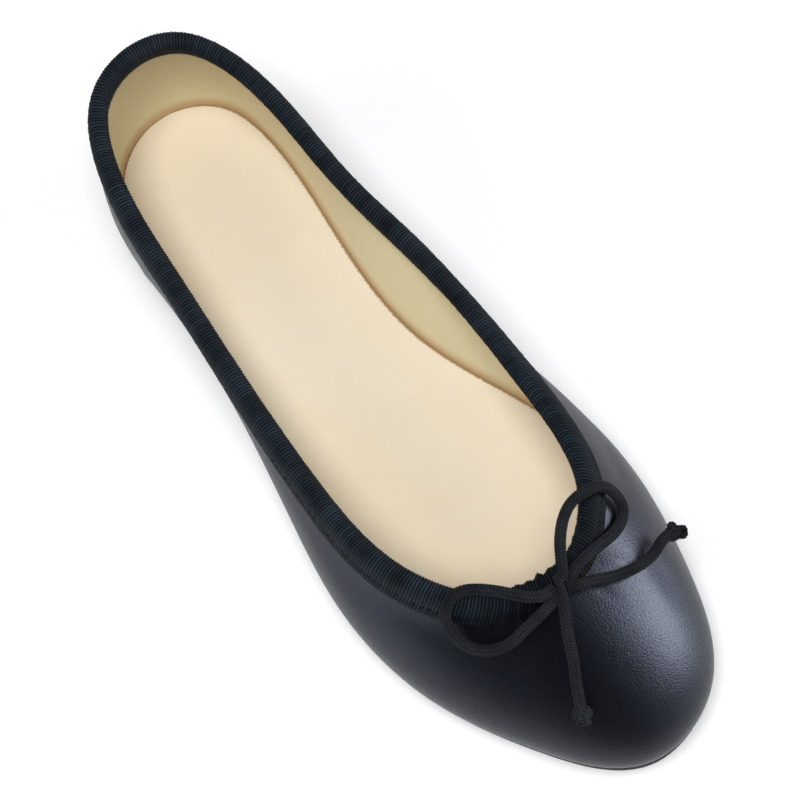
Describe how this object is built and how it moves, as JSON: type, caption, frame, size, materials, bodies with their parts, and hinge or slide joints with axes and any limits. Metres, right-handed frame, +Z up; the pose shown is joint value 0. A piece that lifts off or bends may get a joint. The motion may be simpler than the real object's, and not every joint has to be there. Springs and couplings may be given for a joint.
{
  "type": "ballet flat",
  "caption": "Low-cut slip-on leather flat for the right foot, with a ribbed edge binding, a knotted drawstring bow at the throat, an insole, an outsole and a low heel.",
  "frame": {"origin": "on the floor under the middle of the shoe, which stands on its heel and its forefoot", "axes": "+X points to the toe, +Y to the inner side of the right foot and +Z up"},
  "size_m": [0.2436, 0.0864, 0.0585],
  "materials": {
    "navy_leather": "smooth fine-grained navy leather with a soft gloss",
    "navy_tape": "matt ribbed tape",
    "charcoal_cord": "matt braided cord",
    "cream_leather": "smooth cream leather with a satin finish",
    "black_sole": "satin black"
  },
  "bodies": {
    "root": {"upper": "navy_leather", "outsole": "black_sole", "heel": "black_sole", "insole": "cream_leather", "topline_binding": "navy_tape", "bow_knot": "charcoal_cord", "bow_loop_medial": "charcoal_cord", "bow_loop_lateral": "charcoal_cord", "bow_end_medial": "charcoal_cord", "bow_end_lateral": "charcoal_cord", "end_knot_medial": "charcoal_cord", "end_knot_lateral": "charcoal_cord"}
  },
  "joints": []
}
